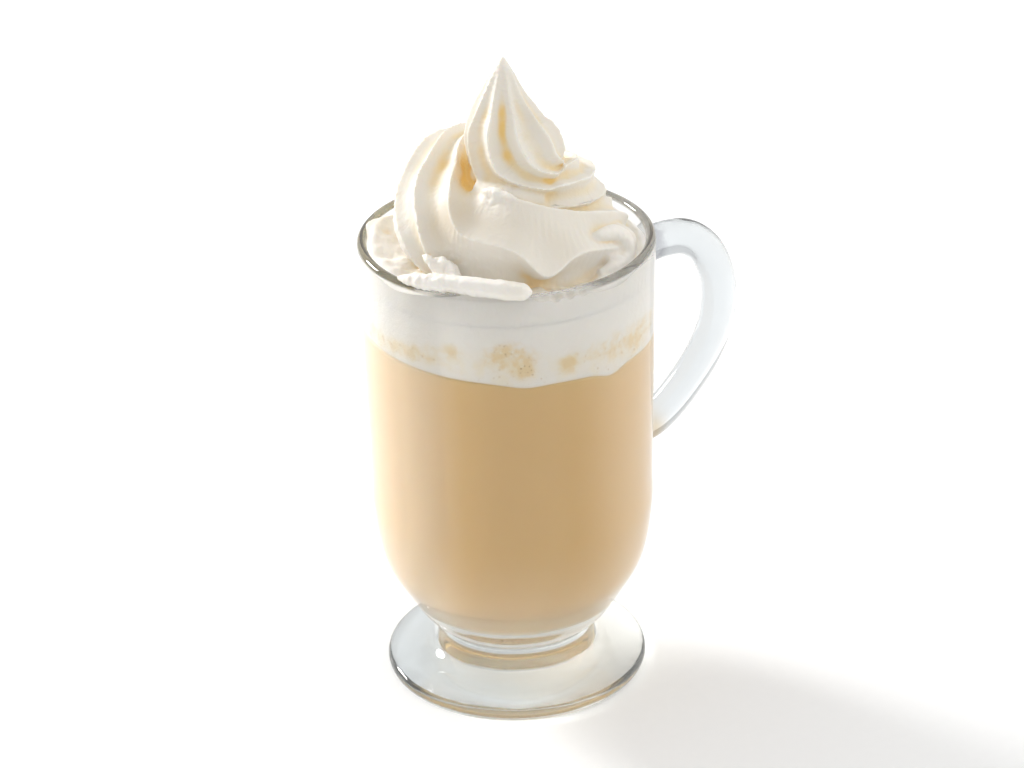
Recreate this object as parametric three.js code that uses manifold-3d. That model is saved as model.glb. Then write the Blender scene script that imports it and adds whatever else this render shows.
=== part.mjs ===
// Hazelnut latte in a footed glass mug, topped with piped whipped cream.
// Millimetres, +Z up. The origin is the centre of the foot's underside, and the handle points to +X.
import * as THREE from 'three';
import { mergeVertices } from 'three/addons/utils/BufferGeometryUtils.js';
import Module from 'manifold-3d';

const wasm = await Module();
wasm.setup();

// Driving sizes of the mug
const MUG_HEIGHT = 130;
const LIP_RADIUS = 39.5;
const BELLY_RADIUS = 38.4;
const WALL = 2.7;
const LIP_ROUND = 1.35;
const FOOT_RADIUS = 36.3;
const FOOT_EDGE = 3.6;
const NECK_RADIUS = 20.4;
const NECK_HEIGHT = 13.2;
const CAVITY_FLOOR = 21.2;
const ROUND_STEPS = 40;

// Handle, drawn in the plane y = 0
const HANDLE_REACH = 64.3;
const HANDLE_TOP = 116.5;
const HANDLE_BOTTOM = 61.5;
const HANDLE_DEPTH = 4.9;
const HANDLE_WIDTH = 4.7;

// Contents
const CONTENTS_GAP = 0.3;
const FOAM_BORDER = 104.3;
const FOAM_TILT = 2;
const CREAM_UNDERSIDE = 121;

// The cream and the foam's border are laid out with -Y toward the viewer of the photographed side,
// which stands this far round from the handle
const VIEW_TURN = THREE.MathUtils.degToRad(-25);

// Piped rope of cream
const LOBES = 10;
const COLUMNS_PER_LOBE = 4;
const VALLEY_DEPTH = 0.22;
const VALLEY_SHARPNESS = 0.75;
const STEPS_PER_STATION = 4;

const rad = THREE.MathUtils.degToRad;

// A Gaussian bump of height 1
function bump(value, centre, width) {
  return Math.exp(-(((value - centre) / width) ** 2));
}

// Difference of two angles in degrees, from -180 to 180
function turnBetween(a, b) {
  return ((((a - b + 180) % 360) + 360) % 360) - 180;
}

// Solids
function solidOf(geometry) {
  const bare = geometry.clone();
  bare.deleteAttribute('normal');
  bare.deleteAttribute('uv');
  const merged = mergeVertices(bare, 1e-5);
  const mesh = new wasm.Mesh({
    numProp: 3,
    vertProperties: new Float32Array(merged.attributes.position.array),
    triVerts: new Uint32Array(merged.index.array),
  });
  return new wasm.Manifold(mesh);
}

function geometryOf(solid) {
  const mesh = solid.getMesh();
  const geometry = new THREE.BufferGeometry();
  geometry.setAttribute('position', new THREE.BufferAttribute(mesh.vertProperties, 3));
  geometry.setIndex(new THREE.BufferAttribute(mesh.triVerts, 1));
  return geometry;
}

// The outer skin of the largest body: sealed hollows and loose scraps are dropped
function largestBody(solid) {
  const bodies = solid.decompose();
  bodies.sort((a, b) => b.volume() - a.volume());
  return bodies[0];
}

function lathed(points, steps = ROUND_STEPS) {
  const profile = points.map(([r, z]) => new THREE.Vector2(r, z));
  const geometry = new THREE.LatheGeometry(profile, steps);
  geometry.rotateX(Math.PI / 2);
  return geometry;
}

// A closed skin over rings of points, with a fan on each end ring. Its faces point out where the
// rings run round to the left of the way from the first to the last, and are flipped where they don't
function skinOverRings(rings, flipped = false) {
  const count = rings[0].length;
  const positions = rings.flat().flatMap((p) => [p.x, p.y, p.z]);
  const index = [];
  for (let i = 0; i < rings.length - 1; i++) {
    for (let k = 0; k < count; k++) {
      const next = (k + 1) % count;
      const a = i * count + k;
      const b = i * count + next;
      const c = (i + 1) * count + next;
      const d = (i + 1) * count + k;
      index.push(a, b, c, a, c, d);
    }
  }
  for (const [ring, start] of [[rings[0], 0], [rings.at(-1), (rings.length - 1) * count]]) {
    const middle = new THREE.Vector3();
    ring.forEach((p) => middle.addScaledVector(p, 1 / count));
    const hub = positions.length / 3;
    positions.push(middle.x, middle.y, middle.z);
    for (let k = 0; k < count; k++) {
      const next = (k + 1) % count;
      if (start === 0) index.push(hub, start + next, start + k);
      else index.push(hub, start + k, start + next);
    }
  }
  if (flipped) index.reverse();
  const geometry = new THREE.BufferGeometry();
  geometry.setAttribute('position', new THREE.Float32BufferAttribute(positions, 3));
  geometry.setIndex(index);
  return geometry;
}

// Points of a round of the circle with centre (r, z), from one angle to another in degrees
function arc(r, z, radius, from, to, steps) {
  return Array.from({ length: steps + 1 }, (_, i) => {
    const a = rad(from + ((to - from) * i) / steps);
    return [r + radius * Math.cos(a), z + radius * Math.sin(a)];
  });
}

// The bowl's outer line from the neck to just under the lip
const BOWL_LINE = new THREE.SplineCurve([
  [NECK_RADIUS + 0.5, NECK_HEIGHT + 1.2], [23, 15.4], [26.9, 19.2], [31, 26], [36.1, 36],
  [BELLY_RADIUS - 0.1, 50], [BELLY_RADIUS, 62], [38.8, 85], [39.2, 108],
  [LIP_RADIUS, MUG_HEIGHT - LIP_ROUND],
].map(([r, z]) => new THREE.Vector2(r, z)));

function bowlOuter() {
  return BOWL_LINE.getPoints(14).map((p) => [p.x, p.y]);
}

// The cavity's line from its floor to the lip, the wall's thickness inside the outer line
function bowlInner(inset) {
  const line = bowlOuter().filter(([, z]) => z > 30).map(([r, z], i, all) => {
    const [r2, z2] = all[Math.min(i + 1, all.length - 1)];
    const [r1, z1] = all[Math.max(i - 1, 0)];
    const length = Math.hypot(r2 - r1, z2 - z1);
    const depth = WALL + inset;
    return [r - (depth * (z2 - z1)) / length, z + (depth * (r2 - r1)) / length];
  });
  const floor = CAVITY_FLOOR + inset;
  return [[0, floor], [9, floor + 0.6], [16, floor + 2.2], [23, floor + 5.3], ...line];
}

function handlePath() {
  const wallTop = 37.6;
  const wallBottom = 36.9;
  return new THREE.CatmullRomCurve3([
    new THREE.Vector3(wallTop, 0, HANDLE_TOP),
    new THREE.Vector3(46, 0, HANDLE_TOP + 1.7),
    new THREE.Vector3(54, 0, HANDLE_TOP + 0.8),
    new THREE.Vector3(60.5, 0, HANDLE_TOP - 5),
    new THREE.Vector3(HANDLE_REACH - 0.2, 0, 101.5),
    new THREE.Vector3(HANDLE_REACH - 0.8, 0, 90),
    new THREE.Vector3(59, 0, 80),
    new THREE.Vector3(51.5, 0, 70.5),
    new THREE.Vector3(44.5, 0, 64.5),
    new THREE.Vector3(wallBottom, 0, HANDLE_BOTTOM),
  ]);
}

function handleGeometry() {
  const section = new THREE.Shape();
  section.absellipse(0, 0, HANDLE_DEPTH, HANDLE_WIDTH, 0, 2 * Math.PI);
  return new THREE.ExtrudeGeometry(section, {
    extrudePath: handlePath(),
    steps: 24,
    curveSegments: 6,
    bevelEnabled: false,
  });
}

function makeGlass() {
  const lipMiddle = LIP_RADIUS - LIP_ROUND;
  const outer = lathed([
    [0, 0],
    [FOOT_RADIUS - 1.9, 0],
    ...arc(FOOT_RADIUS - 1.8, 1.8, 1.8, -60, 80, 4),
    [28, FOOT_EDGE + 0.9], [23.8, 5.9], [21.1, 9],
    [NECK_RADIUS, NECK_HEIGHT],
    ...bowlOuter(),
    ...arc(lipMiddle, MUG_HEIGHT - LIP_ROUND, LIP_ROUND, 30, 150, 4),
    [lipMiddle - LIP_ROUND, MUG_HEIGHT - LIP_ROUND],
    [0, MUG_HEIGHT - LIP_ROUND],
  ]);
  const inner = bowlInner(0);
  const mouth = lipMiddle - LIP_ROUND;
  const cavity = lathed([
    ...inner.slice(0, -1),
    [mouth, MUG_HEIGHT - LIP_ROUND - 0.4],
    [mouth, MUG_HEIGHT + 5],
    [0, MUG_HEIGHT + 5],
  ]);
  const solid = solidOf(outer).add(solidOf(handleGeometry())).subtract(solidOf(cavity));
  return geometryOf(largestBody(solid));
}

// What fills the mug, clear of its wall, up to a height
function filling(top) {
  const line = bowlInner(CONTENTS_GAP).filter(([, z]) => z < top - 1);
  const edge = line.at(-1)[0];
  return solidOf(lathed([...line, [edge + 0.02, top], [0, top]]));
}

// Height of the border between latte and foam at an angle round the mug
function borderHeight(degrees) {
  const slope = -FOAM_TILT * Math.cos(rad(degrees));
  const frontDip = -0.9 * bump(turnBetween(degrees, -84), 0, 9);
  const sideDip = -1.6 * bump(turnBetween(degrees, -46), 0, 7);
  return FOAM_BORDER + slope + frontDip + sideDip;
}

// A block wider than the mug whose top or bottom face is the wavy border
function borderBlock(offset, far) {
  const rings = [
    { radius: 0.5, flat: true },
    { radius: 24, flat: true },
    { radius: 30, flat: false },
    { radius: 48, flat: false },
  ];
  const ringAt = ({ radius, flat }, height) => Array.from({ length: 48 }, (_, k) => {
    const degrees = k * 7.5;
    const border = flat ? FOAM_BORDER : borderHeight(degrees);
    return new THREE.Vector3(
      radius * Math.cos(rad(degrees)),
      radius * Math.sin(rad(degrees)),
      height ?? border + offset,
    );
  });
  const wavy = rings.map((ring) => ringAt(ring));
  const plain = [...rings].reverse().map((ring) => ringAt(ring, far));
  return solidOf(skinOverRings([...wavy, ...plain], far < FOAM_BORDER));
}

function makeLatte() {
  const solid = filling(CREAM_UNDERSIDE - 2).intersect(borderBlock(-CONTENTS_GAP / 2, 0));
  return geometryOf(largestBody(solid));
}

function makeFoam() {
  const top = CREAM_UNDERSIDE - CONTENTS_GAP;
  const solid = filling(top).intersect(borderBlock(CONTENTS_GAP / 2, 160));
  return geometryOf(largestBody(solid));
}

// Stations down the rope from the tip, as the cream hangs: middle (x, y, z), radius of the ridges,
// angle of the marked ridge round the rope in degrees, and how far the ridges beside it spread
const PEAK_STATIONS = [
  [0.35, 0, 180, 0.2, 43, 0.12],
  [0.1, 0, 175.5, 3.2, 43, 0.12],
  [-0.1, 0, 170.5, 6, 43, 0.12],
  [0, -0.2, 165, 9.2, 43, 0.12],
  [0.74, -1.2, 159.4, 12.1, 41, 0.13],
  [3.2, -2.2, 153.3, 13.2, 41, 0.11],
  [7, -3.3, 145.9, 12.1, 51, -0.17],
];
const COIL_STATIONS = [
  [12.8, -0.4, 141.3, 12.1, 71, -0.06],
  [14.9, 7, 138, 12, 79, -0.01],
  [8, 15.5, 136.4, 12.3, 86, 0],
  [-3.8, 17.2, 140.2, 12.8, 90, -0.08],
  [-12.2, 11.4, 143.4, 12.8, 106, -0.3],
  [-16.3, 1.2, 140.2, 13.3, 110, 0.04],
  [-15.5, -8.7, 137.2, 13.9, 89, 0.33],
  [-8.1, -15.8, 134.8, 14.2, 38, 0.86],
  [2.9, -19.4, 134.7, 13.7, 24, 0.86],
  [14.3, -15.6, 132.4, 12.1, 16, 0.63],
  [21.7, -4.5, 129.6, 11.9, -2, 0.37],
  [21, 7, 127, 11.4, -30, 0],
  [12, 18, 125.5, 11.4, -60, 0],
];
const FLAP_STATION = 15.36;
const GROOVE_STATION = 4.2;

// Catmull-Rom through rows of numbers
function alongRows(rows, perSpan) {
  const result = [];
  for (let i = 0; i < rows.length - 1; i++) {
    const before = rows[i - 1] ?? rows[0].map((v, c) => 2 * v - rows[1][c]);
    const after = rows[i + 2] ?? rows[i + 1].map((v, c) => 2 * v - rows[i][c]);
    for (let s = 0; s < perSpan; s++) {
      const t = s / perSpan;
      result.push(rows[i].map((p1, c) => {
        const [p0, p2, p3] = [before[c], rows[i + 1][c], after[c]];
        return 0.5 * (2 * p1 + (p2 - p0) * t + (2 * p0 - 5 * p1 + 4 * p2 - p3) * t * t
          + (3 * p1 - p0 - 3 * p2 + p3) * t * t * t);
      }));
    }
  }
  result.push(rows.at(-1));
  return result;
}

// Frames along the rope: the way up to the tip, the way out of the coil and the way over it
function ropeFrames(rows) {
  const middles = rows.map(([x, y, z]) => new THREE.Vector3(x, y, z));
  const last = middles.length - 1;
  const ways = middles.map((_, i) => new THREE.Vector3()
    .subVectors(middles[Math.max(i - 1, 0)], middles[Math.min(i + 1, last)]).normalize());
  const headings = ways.map((way) => Math.atan2(way.y, way.x));
  for (let i = last - 1; i >= 0; i--) {
    const lean = Math.hypot(ways[i].x, ways[i].y);
    const turn = Math.atan2(Math.sin(headings[i] - headings[i + 1]), Math.cos(headings[i] - headings[i + 1]));
    headings[i] = headings[i + 1] + (lean > 0.45 ? turn : 0);
  }
  return middles.map((middle, i) => {
    const way = ways[i];
    const heading = (headings[Math.max(i - 1, 0)] + 2 * headings[i] + headings[Math.min(i + 1, last)]) / 4;
    const out = new THREE.Vector3(-Math.sin(heading), Math.cos(heading), 0);
    out.addScaledVector(way, -out.dot(way)).normalize();
    const over = new THREE.Vector3().crossVectors(way, out);
    return { middle, way, out, over };
  });
}

// The star-shaped outline of the rope at each step, kept from crossing its neighbours in a bend
function ropeRings() {
  const rows = alongRows([...PEAK_STATIONS, ...COIL_STATIONS], STEPS_PER_STATION);
  const frames = ropeFrames(rows);
  const columns = LOBES * COLUMNS_PER_LOBE;
  return frames.map((frame, i) => {
    const [, , , radius, ridgeDegrees, spread] = rows[i];
    const station = i / STEPS_PER_STATION;
    return Array.from({ length: columns }, (_, k) => {
      const part = (k % COLUMNS_PER_LOBE) / COLUMNS_PER_LOBE;
      const crowded = part - 0.1 * Math.sin(2 * Math.PI * part);
      let around = ((Math.floor(k / COLUMNS_PER_LOBE) + crowded) * 2 * Math.PI) / LOBES;
      if (around > Math.PI) around -= 2 * Math.PI;
      const groove = 0.55 * bump(station, GROOVE_STATION, 1.6) * bump(around, rad(-18), rad(16));
      const valley = VALLEY_DEPTH * (1 + groove) * Math.sin(Math.PI * crowded) ** VALLEY_SHARPNESS;
      const flap = bump(station, FLAP_STATION, 0.32);
      const swing = -rad(26) * flap * bump(around, 0, rad(24));
      const stretch = 1 + 0.16 * flap * bump(around, 0, rad(12));
      const angle = around + spread * Math.sin(around) + rad(ridgeDegrees) + swing;
      const way = new THREE.Vector3()
        .addScaledVector(frame.out, Math.cos(angle))
        .addScaledVector(frame.over, Math.sin(angle));
      let reach = Math.max(radius, 0.1) * (1 - valley) * stretch;
      for (const [other, side] of [[frames[i - 1], 1], [frames[i + 1], -1]]) {
        if (!other) continue;
        const gap = new THREE.Vector3().subVectors(frame.middle, other.middle).dot(other.way) * side;
        const slope = way.dot(other.way) * side;
        const limit = (-0.1 - gap) / slope;
        if (gap < 0 && slope > 0) reach = Math.min(reach, Math.max(limit, 0.2));
      }
      return frame.middle.clone().addScaledVector(way, reach);
    });
  });
}

// The rope in pieces short enough that none meets itself, joined
function ropeSolid() {
  const rings = ropeRings();
  const pieceLength = 2 * STEPS_PER_STATION;
  let solid = null;
  for (let start = 0; start < rings.length - 1; start += pieceLength) {
    const piece = rings.slice(start, start + pieceLength + 1);
    const part = solidOf(skinOverRings(piece, true));
    solid = solid ? solid.add(part) : part;
  }
  return solid;
}

// A round strand through rows of (x, y, z, radius)
function strand(rows, sides = 9) {
  const steps = alongRows(rows, 3);
  const middles = steps.map(([x, y, z]) => new THREE.Vector3(x, y, z));
  const rings = middles.map((middle, i) => {
    const way = new THREE.Vector3()
      .subVectors(middles[Math.min(i + 1, middles.length - 1)], middles[Math.max(i - 1, 0)]).normalize();
    const across = new THREE.Vector3().crossVectors(way, new THREE.Vector3(0, 0.3, 1)).normalize();
    const up = new THREE.Vector3().crossVectors(way, across);
    const radius = Math.max(steps[i][3], 0.1);
    return Array.from({ length: sides }, (_, k) => {
      const a = (k * 2 * Math.PI) / sides;
      return middle.clone()
        .addScaledVector(across, radius * Math.cos(a))
        .addScaledVector(up, radius * Math.sin(a));
    });
  });
  return solidOf(skinOverRings(rings));
}

// Height of the bed of cream that fills the mouth of the mug
function bedHeight(radius, degrees) {
  const outside = Math.min(Math.max((radius - 22) / 14, 0), 1);
  const near = (centre, width) => bump(turnBetween(degrees, centre), 0, width);
  const swells = 4.4 * near(-98, 38) + 4.2 * near(-178, 34) + 2.4 * near(-30, 30) + 3 * near(50, 70);
  const folds = 0.9 * Math.sin(rad(7 * degrees) + 0.6) * near(180, 60)
    + 0.5 * Math.sin(rad(11 * degrees) + 0.35 * radius);
  const wallDrop = 1.6 * Math.min(Math.max((radius - 34.2) / 2.2, 0), 1) ** 2 * (1 - 0.9 * near(-95, 34));
  return 125 + (swells + folds) * outside - wallDrop;
}

function bedSolid() {
  const ringOf = (radius, height) => Array.from({ length: 60 }, (_, k) => new THREE.Vector3(
    radius * Math.cos(rad(6 * k)),
    radius * Math.sin(rad(6 * k)),
    height ?? bedHeight(radius, 6 * k),
  ));
  const edge = BOWL_LINE.getPoint(1).x - WALL - CONTENTS_GAP;
  const top = [1, 12, 20, 25, 29, 32, 34.5, edge].map((radius) => ringOf(radius));
  const bottom = [edge, 1].map((radius) => ringOf(radius, CREAM_UNDERSIDE));
  return solidOf(skinOverRings([...top, ...bottom], true));
}

// The lip of the glass with its clearance, which the cream that hangs over it keeps
function lipClearance() {
  const middle = LIP_RADIUS - LIP_ROUND;
  const round = LIP_ROUND + CONTENTS_GAP;
  return solidOf(lathed([
    ...arc(middle, MUG_HEIGHT - LIP_ROUND, round, 0, 180, 8),
    [middle - round, CREAM_UNDERSIDE - 3],
    [middle + round, CREAM_UNDERSIDE - 3],
    [middle + round, MUG_HEIGHT - LIP_ROUND],
  ]));
}

function makeCream() {
  const core = solidOf(lathed([
    [0, CREAM_UNDERSIDE], [24, CREAM_UNDERSIDE], [20, 130], [9, 146], [5, 158], [0, 160],
  ], 20));
  const lipRoll = strand([
    [-18.5, -31, 130.2, 1.4], [-14.5, -33.6, 131.6, 2.2], [-8, -36, 131.6, 2.5],
    [-1, -37.4, 131.2, 2.5], [4, -37.9, 130.8, 2.2], [6.2, -38, 130.6, 0.6],
  ]);
  const curl = strand([
    [22, -13, 131, 1], [24.5, -12, 133.2, 2.2], [28.5, -9.5, 133.4, 2.8], [31.2, -8.5, 130.5, 3],
    [30.5, -10.5, 127.4, 2.8], [27, -13, 126, 2], [24.5, -14.5, 126.2, 0.8],
  ]);
  const tornFlap = strand([
    [-16.5, -29.5, 128, 1.8], [-17, -28.6, 131, 1.7], [-18.3, -27.5, 133.5, 1.5],
    [-20, -26, 135.2, 1.2], [-21.5, -24.5, 135.6, 0.5],
  ]);
  const below = solidOf(lathed([
    [0, 80], [60, 80], [60, CREAM_UNDERSIDE], [0, CREAM_UNDERSIDE],
  ], 12));
  const solid = ropeSolid().add(core).add(bedSolid()).add(lipRoll).add(curl).add(tornFlap)
    .subtract(below).subtract(lipClearance());
  return geometryOf(largestBody(solid));
}

// Materials
const glass = new THREE.MeshStandardMaterial({
  color: 0xe9edec, roughness: 0.05, metalness: 0, transparent: true, opacity: 0.35, flatShading: true,
});
const coffee = new THREE.MeshStandardMaterial({
  color: 0xc4a078, roughness: 0.4, metalness: 0, flatShading: true,
});
const foam = new THREE.MeshStandardMaterial({
  color: 0xf2efe8, roughness: 0.7, metalness: 0, flatShading: true,
});
const cream = new THREE.MeshStandardMaterial({
  color: 0xf8f1e0, roughness: 0.55, metalness: 0, flatShading: true,
});

function named(name, geometry, material) {
  const mesh = new THREE.Mesh(geometry, material);
  mesh.name = name;
  return mesh;
}

// Assembly
const group = new THREE.Group();
group.add(named('glass_mug', makeGlass(), glass));
const contents = new THREE.Group();
contents.rotation.z = VIEW_TURN;
contents.add(named('latte', makeLatte(), coffee));
contents.add(named('milk_foam', makeFoam(), foam));
contents.add(named('whipped_cream', makeCream(), cream));
group.add(contents);

export default group;
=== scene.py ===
import math

import bpy
import numpy as np
from mathutils import Matrix, Vector, kdtree, noise


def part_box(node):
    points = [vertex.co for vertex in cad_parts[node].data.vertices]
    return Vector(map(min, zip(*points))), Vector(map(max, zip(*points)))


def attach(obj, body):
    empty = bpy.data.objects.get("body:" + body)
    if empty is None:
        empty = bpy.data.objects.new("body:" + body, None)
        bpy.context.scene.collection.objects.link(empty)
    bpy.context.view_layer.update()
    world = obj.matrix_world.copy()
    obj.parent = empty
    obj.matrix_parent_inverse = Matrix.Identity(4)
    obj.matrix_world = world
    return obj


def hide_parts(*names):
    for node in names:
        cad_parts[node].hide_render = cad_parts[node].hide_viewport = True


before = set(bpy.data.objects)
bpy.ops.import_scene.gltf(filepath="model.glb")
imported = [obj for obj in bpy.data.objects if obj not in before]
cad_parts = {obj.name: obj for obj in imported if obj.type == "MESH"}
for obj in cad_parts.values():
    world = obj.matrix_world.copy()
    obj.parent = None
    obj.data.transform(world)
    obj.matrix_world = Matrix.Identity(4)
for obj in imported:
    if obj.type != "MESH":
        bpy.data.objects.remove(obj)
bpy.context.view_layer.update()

# Camera, at the side of the mug where the handle points a little away, looking down on the lip.
# What is laid out below has -Y toward this camera, and is then turned with it.
MM = 0.001
VIEW_TURN = math.radians(-25)
CAMERA_PLACE = Vector((0, -717.8, 455.3)) * MM
CAMERA_AIM = Vector((0.5, 0, 85.3)) * MM
CAMERA_ROLL = math.radians(-1.47)
CAMERA_LENS = 105
CAMERA_SENSOR = 36
CAMERA_NEAR = 0.01

turn_to_view = Matrix.Rotation(VIEW_TURN, 4, "Z")
camera_place = turn_to_view @ Matrix.Translation(CAMERA_PLACE)
camera_aim = (CAMERA_AIM - CAMERA_PLACE).to_track_quat("-Z", "Y").to_matrix().to_4x4()
camera = bpy.data.objects.new("camera", bpy.data.cameras.new("camera"))
camera.data.lens = CAMERA_LENS
camera.data.sensor_width = CAMERA_SENSOR
camera.data.clip_start = CAMERA_NEAR
camera.matrix_world = camera_place @ camera_aim @ Matrix.Rotation(CAMERA_ROLL, 4, "Z")
bpy.context.scene.collection.objects.link(camera)
bpy.context.scene.camera = camera

# Glass mug: pressed clear glass in one piece, a thin bowl with a rounded lip on a short neck and a
# disc foot, which is dished underneath. The handle is a bent glass rod pressed onto the wall while
# hot, so its ends flow into it.
glass_low, glass_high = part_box("glass_mug")
MUG_HEIGHT = glass_high.z / MM
LIP_RADIUS = -glass_low.x / MM
WALL = 2.7
LIP_ROUND = WALL / 2
FOOT_RADIUS = 36.3
FOOT_ROUND = 1.8
NECK_RADIUS = 20.4
CAVITY_FLOOR = 21.2
NEAR_AXIS = 0.3
TURN_STEPS = 240

# Lines of the glass as radii and heights: the bowl's outside from the neck up, its floor inside over
# the floor's middle, the foot's top inward and the dish under the foot outward.
BOWL_LINE = [
    (NECK_RADIUS, 13.2), (NECK_RADIUS + 0.5, 14.4), (23, 15.4), (26.9, 19.2), (31, 26), (36.1, 36),
    (38.3, 50), (38.4, 62), (38.8, 85), (39.2, 108), (LIP_RADIUS, MUG_HEIGHT - LIP_ROUND),
]
SIDE_FROM = 30
FLOOR_RISE = [(NEAR_AXIS, 0), (9, 0.6), (16, 2.2), (23, 5.3)]
FOOT_TOP = [(31, 4.25), (28, 4.5), (23.8, 5.9), (21.1, 9)]
FOOT_DISH = [(NEAR_AXIS, 4.2), (6, 4.1), (11, 3.6), (15, 2.6), (19, 1.2), (22, 0.25), (24, 0)]

# The middle line of the handle's rod, in the plane of X and Z.
HANDLE_TOP = 116.5
HANDLE_FOOT = 61.5
HANDLE_PATH = [
    (37.6, HANDLE_TOP), (46, HANDLE_TOP + 1.7), (54, HANDLE_TOP + 0.8), (60.5, HANDLE_TOP - 5),
    (64.1, 101.5), (63.5, 90), (59, 80), (51.5, 70.5), (44.5, 64.5), (36.9, HANDLE_FOOT),
]
HANDLE_DEPTH = 4.9
HANDLE_WIDTH = 4.7
HANDLE_SIDES = 48
MELT_REACH = 3.2
MELT_WEIGHT = 0.8
MELT_ROUNDS = 14
GLASS_TINT = (0.78, 0.79, 0.73)
GLASS_DENSITY = 14
# Painted light and shade: the foot is lighter on its right, where the mug's shadow falls, and the handle and
# the foot's left are a darker blue-grey.
LIT_FOOT_GLASS = (0.97, 0.97, 0.965)
BOWL_GLASS = (0.94, 0.94, 0.935)
SHADED_GLASS = (0.74, 0.77, 0.795)
LIP_SHADE = (0.06, 0.05, 0.024)
ROOT_SHADE = (0.16, 0.15, 0.19)
LOWER_ROOT_TAN = (0.62, 0.45, 0.22)
LAMP_GLASS = (0.965, 0.97, 0.965)
LEFT_WAY = (-math.cos(VIEW_TURN), -math.sin(VIEW_TURN), 0)
FRONT_WAY = (math.sin(VIEW_TURN), -math.cos(VIEW_TURN), 0)


def through(rows, steps):
    """Rows of numbers on a smooth curve through the given rows, with so many steps from one to the next."""
    rows = np.asarray(rows, float)
    padded = np.vstack([2 * rows[0] - rows[1], rows, 2 * rows[-1] - rows[-2]])
    curve = []
    for before, start, end, after in zip(padded, padded[1:], padded[2:], padded[3:]):
        for t in np.arange(steps) / steps:
            bend = (2 * before - 5 * start + 4 * end - after) * t**2
            twist = (3 * start - before - 3 * end + after) * t**3
            curve.append(0.5 * (2 * start + (end - before) * t + bend + twist))
    curve.append(rows[-1])
    return np.array(curve)


def arc(centre, radius, start, end, steps):
    """Points of a round from one angle to another, in degrees."""
    angles = np.radians(np.linspace(start, end, steps + 1))
    return np.stack([centre[0] + radius * np.cos(angles), centre[1] + radius * np.sin(angles)], 1)


def turned_rings(profile, steps=TURN_STEPS):
    """A ring of points round the axis for each (radius, height) of a profile."""
    angles = np.arange(steps) * 2 * math.pi / steps
    radius, height = np.asarray(profile, float).T[:, :, None]
    return np.stack([radius * np.cos(angles), radius * np.sin(angles), height + 0 * angles], 2)


def skin(rings, closed=False):
    """Points and faces of a skin over rings of points, closed by a fan on each end ring or end to end."""
    count, around = rings.shape[:2]
    points = np.vstack([rings.reshape(-1, 3), rings[0].mean(0), rings[-1].mean(0)])
    here = np.arange(around)
    after = np.roll(here, -1)
    faces = []
    for row in range(0, (count - 1) * around, around):
        corners = [row + here, row + after, row + around + after, row + around + here]
        faces += np.stack(corners, 1).tolist()
    if closed:
        joints = np.arange(count * around) % ((count - 1) * around)
        return rings[:-1].reshape(-1, 3), joints[np.array(faces)].tolist()
    last = (count - 1) * around
    faces += np.stack([after, here, here * 0 + len(points) - 2], 1).tolist()
    faces += np.stack([last + here, last + after, here * 0 + len(points) - 1], 1).tolist()
    return points, faces


def mesh_object(name, points, faces):
    """A smooth-shaded object whose points are given in millimetres."""
    mesh = bpy.data.meshes.new(name)
    mesh.from_pydata((np.asarray(points) * MM).tolist(), [], faces)
    mesh.shade_smooth()
    made = bpy.data.objects.new(name, mesh)
    bpy.context.scene.collection.objects.link(made)
    return made


def face_out(made):
    """Turns a closed mesh's faces outward where they all point in."""
    mesh = made.data
    volume = 0
    for face in mesh.polygons:
        volume += face.center.dot(face.normal) * face.area
    if volume < 0:
        mesh.flip_normals()


def with_modifier(made, kind, **settings):
    """Adds a modifier to an object and applies it."""
    modifier = made.modifiers.new(kind.lower(), kind)
    for name, value in settings.items():
        setattr(modifier, name, value)
    shaped = bpy.data.meshes.new_from_object(made.evaluated_get(bpy.context.evaluated_depsgraph_get()))
    made.modifiers.clear()
    made.data = shaped


def cut_or_join(made, tool, operation):
    """Joins a tool to an object, or cuts it away, and removes the tool."""
    with_modifier(made, "BOOLEAN", object=tool, operation=operation, solver="MANIFOLD")
    bpy.data.objects.remove(tool)


def rows_of(items, name):
    """The vector of that name that each of a mesh's points or faces has, as rows of an array."""
    flat = np.empty(len(items) * 3)
    items.foreach_get(name, flat)
    return flat.reshape(-1, 3)


def points_of(made):
    """An object's points, in millimetres."""
    return rows_of(made.data.vertices, "co") / MM


def set_points(made, points):
    made.data.vertices.foreach_set("co", (points * MM).ravel())
    made.data.update()


def relaxed(made, points, weight, rounds):
    """Points drawn toward the middle of their neighbours by a weight, round after round."""
    ends = np.empty(len(made.data.edges) * 2, np.int32)
    made.data.edges.foreach_get("vertices", ends)
    near, far = ends.reshape(-1, 2).T
    count = np.bincount(np.concatenate([near, far]), minlength=len(points))[:, None]
    weight = np.broadcast_to(weight, len(points))[:, None]
    for _ in range(rounds):
        total = np.zeros_like(points)
        for axis in range(3):
            total[:, axis] = np.bincount(near, points[far, axis], len(points))
            total[:, axis] += np.bincount(far, points[near, axis], len(points))
        points = points + weight * (total / count - points)
    return points


def bump(value, centre, width):
    """A rounded bump of height 1."""
    return np.exp(-(((value - centre) / width) ** 2))


def ramp(value, low, high):
    """Rises evenly from 0 at low to 1 at high."""
    return np.clip((value - low) / (high - low), 0, 1)


bowl_outer = through(BOWL_LINE, 10)
along = np.gradient(bowl_outer, axis=0)
inward = np.stack([-along[:, 1], along[:, 0]], 1) / np.linalg.norm(along, axis=1)[:, None]
bowl_wall = (bowl_outer + WALL * inward)[bowl_outer[:, 1] > SIDE_FROM]


def inner_line(inset, top):
    """The cavity's line from the middle of its floor up to a height, inset from the face of the glass."""
    floor = [(radius, CAVITY_FLOOR + rise) for radius, rise in FLOOR_RISE]
    line = through(np.vstack([floor, bowl_wall[::8]]), 8)
    line = line[line[:, 1] < top - 0.5]
    way = np.gradient(line, axis=0)
    line = line + inset * np.stack([-way[:, 1], way[:, 0]], 1) / np.linalg.norm(way, axis=1)[:, None]
    line[0, 0] = NEAR_AXIS
    return np.vstack([line, (line[-1, 0] + 0.01, top)])


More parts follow.
